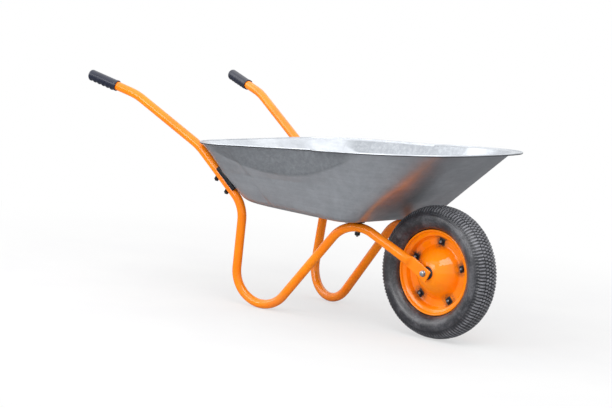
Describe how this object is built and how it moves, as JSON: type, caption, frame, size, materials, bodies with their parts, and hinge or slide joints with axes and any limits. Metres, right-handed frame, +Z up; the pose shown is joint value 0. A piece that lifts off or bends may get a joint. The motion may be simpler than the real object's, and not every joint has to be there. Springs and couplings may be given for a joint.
{
  "type": "wheelbarrow",
  "caption": "Construction wheelbarrow: bent tube frame with grips and legs, pressed steel tray, pneumatic wheel on a bolted split rim.",
  "frame": {"origin": "on the ground, under the middle of the whole barrow's bounding box, standing on its wheel and both legs", "axes": "+X forward, from the grips to the wheel; +Y to the left of the person pushing it; +Z up"},
  "size_m": [1.2748, 0.636, 0.5943],
  "materials": {
    "tray_sheet": "satin galvanised",
    "orange_paint": "gloss",
    "bracket_paint": "satin",
    "black_fastener": "satin black oxide",
    "zinc_fastener": "bright zinc",
    "bearing_steel": "polished",
    "grip_plastic": "matte",
    "cap_plastic": "matte",
    "tyre_rubber": "matte",
    "inner_rubber": "matte"
  },
  "bodies": {
    "frame": {"axle_bolt": "zinc_fastener", "axle_bush_left": "zinc_fastener", "axle_bush_right": "zinc_fastener", "axle_nut": "zinc_fastener", "axle_washer_left": "zinc_fastener", "axle_washer_right": "zinc_fastener", "bearing_inner_left": "bearing_steel", "bearing_inner_right": "bearing_steel", "frame_tube_left": "orange_paint", "frame_tube_right": "orange_paint", "front_pad_left": "bracket_paint", "front_pad_right": "bracket_paint", "grip_left": "grip_plastic", "grip_right": "grip_plastic", "hub_sleeve": "zinc_fastener", "saddle_left": "bracket_paint", "saddle_right": "bracket_paint", "tray": "tray_sheet", "tray_bolt_front_left": "zinc_fastener", "tray_bolt_front_right": "zinc_fastener", "tray_bolt_rear_lower_left": "zinc_fastener", "tray_bolt_rear_lower_right": "zinc_fastener", "tray_bolt_rear_upper_left": "zinc_fastener", "tray_bolt_rear_upper_right": "zinc_fastener", "tray_nut_front_left": "black_fastener", "tray_nut_front_right": "black_fastener", "tray_nut_rear_lower_left": "black_fastener", "tray_nut_rear_lower_right": "black_fastener", "tray_nut_rear_upper_left": "black_fastener", "tray_nut_rear_upper_right": "black_fastener", "tray_washer_front_left": "black_fastener", "tray_washer_front_right": "black_fastener", "tray_washer_rear_lower_left": "black_fastener", "tray_washer_rear_lower_right": "black_fastener", "tray_washer_rear_upper_left": "black_fastener", "tray_washer_rear_upper_right": "black_fastener"},
    "wheel": {"bearing_outer_left": "bearing_steel", "bearing_outer_right": "bearing_steel", "bearing_seal_left": "inner_rubber", "bearing_seal_right": "inner_rubber", "inner_tube": "inner_rubber", "rim_bolt_1": "zinc_fastener", "rim_bolt_2": "zinc_fastener", "rim_bolt_3": "zinc_fastener", "rim_bolt_4": "zinc_fastener", "rim_bolt_5": "zinc_fastener", "rim_half_left": "orange_paint", "rim_half_right": "orange_paint", "rim_nut_1": "black_fastener", "rim_nut_2": "black_fastener", "rim_nut_3": "black_fastener", "rim_nut_4": "black_fastener", "rim_nut_5": "black_fastener", "tyre": "tyre_rubber", "valve_cap": "cap_plastic"}
  },
  "joints": [
    {"name": "wheel_spin", "type": "hinge", "parent": "frame", "child": "wheel", "pos_m": [0.45744, 0, 0.18014], "axis": [0, 1, 0], "continuous": true}
  ]
}
